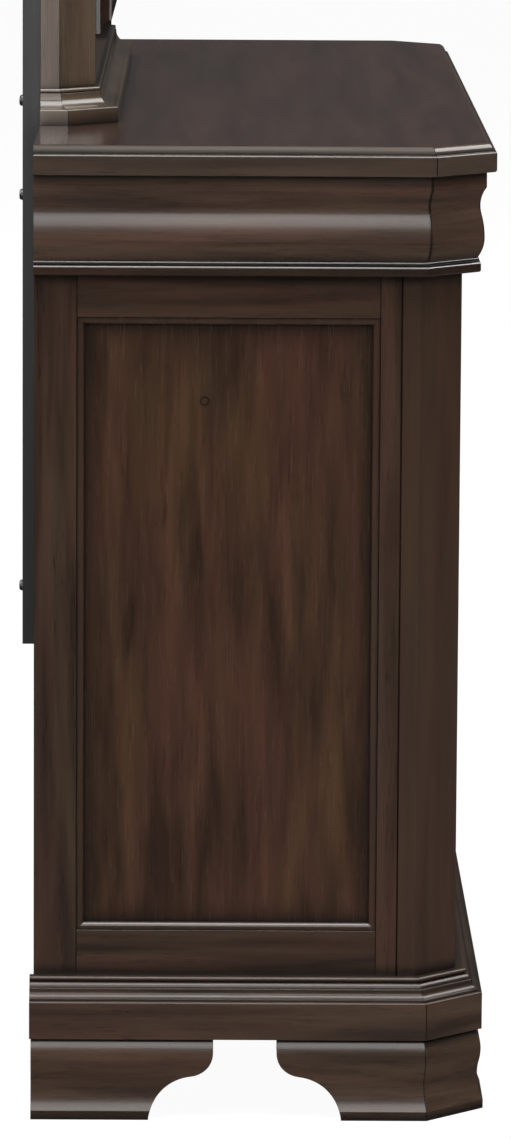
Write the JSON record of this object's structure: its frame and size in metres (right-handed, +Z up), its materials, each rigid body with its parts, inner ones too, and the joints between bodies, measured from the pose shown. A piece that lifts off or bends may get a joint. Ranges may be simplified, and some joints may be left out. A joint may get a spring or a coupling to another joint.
{
  "type": "dresser with mirror",
  "caption": "Dark stained wooden dresser with canted corners, ogee frieze drawers, fielded drawers with bail pulls, bracket feet and a framed mirror on rear supports.",
  "frame": {"origin": "floor level under the middle of the whole object's box", "axes": "+Z up, +X along the drawers to the right as seen from the front, -Y towards the front"},
  "size_m": [1.625, 0.507, 2.027],
  "materials": {
    "stained_wood": "dark brown stain, satin",
    "panel_veneer": "dark stained veneer, satin",
    "top_veneer": "dark stained veneer, semi-gloss",
    "drawer_wood": "clear lacquer, satin",
    "carcass_wood": "bare, planed",
    "plywood": "bare, sanded",
    "support_paint": "black paint, eggshell",
    "screw_steel": "zinc, dulled",
    "antique_brass": "antiqued, satin",
    "mirror_glass": "silvered, polished"
  },
  "bodies": {
    "case": {"top_panel": "top_veneer", "waist_moulding": "stained_wood", "base_moulding": "stained_wood", "bottom_board": "plywood", "back_panel": "plywood", "centre_partition": "carcass_wood", "face_rails": "stained_wood", "rear_rails": "carcass_wood", "drawer_runners": "carcass_wood", "left_frieze": "stained_wood", "left_side_frame": "stained_wood", "left_side_panel": "panel_veneer", "left_panel_bead": "stained_wood", "left_corner_post": "stained_wood", "left_front_foot": "stained_wood", "left_rear_foot": "stained_wood", "right_frieze": "stained_wood", "right_side_frame": "stained_wood", "right_side_panel": "panel_veneer", "right_panel_bead": "stained_wood", "right_corner_post": "stained_wood", "right_front_foot": "stained_wood", "right_rear_foot": "stained_wood", "mirror_base": "stained_wood", "mirror_stiles": "stained_wood", "mirror_rails": "stained_wood", "mirror_cornice": "stained_wood", "mirror_inner_moulding": "stained_wood", "mirror_glass": "mirror_glass", "mirror_back_board": "plywood", "mirror_supports": "support_paint", "support_screws": "screw_steel"},
    "lower_left_drawer": {"lower_left_drawer_front": "stained_wood", "lower_left_drawer_box": "drawer_wood", "lower_left_pull_plate": "antique_brass"},
    "lower_left_handle": {"lower_left_bail": "antique_brass"},
    "lower_right_drawer": {"lower_right_drawer_front": "stained_wood", "lower_right_drawer_box": "drawer_wood", "lower_right_pull_plate": "antique_brass"},
    "lower_right_handle": {"lower_right_bail": "antique_brass"},
    "middle_left_drawer": {"middle_left_drawer_front": "stained_wood", "middle_left_drawer_box": "drawer_wood", "middle_left_pull_plate": "antique_brass"},
    "middle_left_handle": {"middle_left_bail": "antique_brass"},
    "middle_right_drawer": {"middle_right_drawer_front": "stained_wood", "middle_right_drawer_box": "drawer_wood", "middle_right_pull_plate": "antique_brass"},
    "middle_right_handle": {"middle_right_bail": "antique_brass"},
    "upper_left_drawer": {"upper_left_drawer_front": "stained_wood", "upper_left_drawer_box": "drawer_wood", "upper_left_pull_plate": "antique_brass"},
    "upper_left_handle": {"upper_left_bail": "antique_brass"},
    "upper_right_drawer": {"upper_right_drawer_front": "stained_wood", "upper_right_drawer_box": "drawer_wood", "upper_right_pull_plate": "antique_brass"},
    "upper_right_handle": {"upper_right_bail": "antique_brass"},
    "frieze_left_drawer": {"frieze_left_drawer_front": "stained_wood", "frieze_left_drawer_box": "drawer_wood"},
    "frieze_right_drawer": {"frieze_right_drawer_front": "stained_wood", "frieze_right_drawer_box": "drawer_wood"}
  },
  "joints": [
    {"name": "lower_left_drawer_slide", "type": "slide", "parent": "case", "child": "lower_left_drawer", "axis": [0, -1, 0], "range_m": [0, 0.309]},
    {"name": "lower_left_bail_swing", "type": "hinge", "parent": "lower_left_drawer", "child": "lower_left_handle", "pos_m": [-0.35775, -0.2245, 0.28267], "axis": [-1, 0, 0], "range_deg": [0, 90]},
    {"name": "lower_right_drawer_slide", "type": "slide", "parent": "case", "child": "lower_right_drawer", "axis": [0, -1, 0], "range_m": [0, 0.309]},
    {"name": "lower_right_bail_swing", "type": "hinge", "parent": "lower_right_drawer", "child": "lower_right_handle", "pos_m": [0.35775, -0.2245, 0.28267], "axis": [-1, 0, 0], "range_deg": [0, 90]},
    {"name": "middle_left_drawer_slide", "type": "slide", "parent": "case", "child": "middle_left_drawer", "axis": [0, -1, 0], "range_m": [0, 0.309]},
    {"name": "middle_left_bail_swing", "type": "hinge", "parent": "middle_left_drawer", "child": "middle_left_handle", "pos_m": [-0.35775, -0.2245, 0.524], "axis": [-1, 0, 0], "range_deg": [0, 90]},
    {"name": "middle_right_drawer_slide", "type": "slide", "parent": "case", "child": "middle_right_drawer", "axis": [0, -1, 0], "range_m": [0, 0.309]},
    {"name": "middle_right_bail_swing", "type": "hinge", "parent": "middle_right_drawer", "child": "middle_right_handle", "pos_m": [0.35775, -0.2245, 0.524], "axis": [-1, 0, 0], "range_deg": [0, 90]},
    {"name": "upper_left_drawer_slide", "type": "slide", "parent": "case", "child": "upper_left_drawer", "axis": [0, -1, 0], "range_m": [0, 0.309]},
    {"name": "upper_left_bail_swing", "type": "hinge", "parent": "upper_left_drawer", "child": "upper_left_handle", "pos_m": [-0.35775, -0.2245, 0.76533], "axis": [-1, 0, 0], "range_deg": [0, 90]},
    {"name": "upper_right_drawer_slide", "type": "slide", "parent": "case", "child": "upper_right_drawer", "axis": [0, -1, 0], "range_m": [0, 0.309]},
    {"name": "upper_right_bail_swing", "type": "hinge", "parent": "upper_right_drawer", "child": "upper_right_handle", "pos_m": [0.35775, -0.2245, 0.76533], "axis": [-1, 0, 0], "range_deg": [0, 90]},
    {"name": "frieze_left_drawer_slide", "type": "slide", "parent": "case", "child": "frieze_left_drawer", "axis": [0, -1, 0], "range_m": [0, 0.309]},
    {"name": "frieze_right_drawer_slide", "type": "slide", "parent": "case", "child": "frieze_right_drawer", "axis": [0, -1, 0], "range_m": [0, 0.309]}
  ]
}
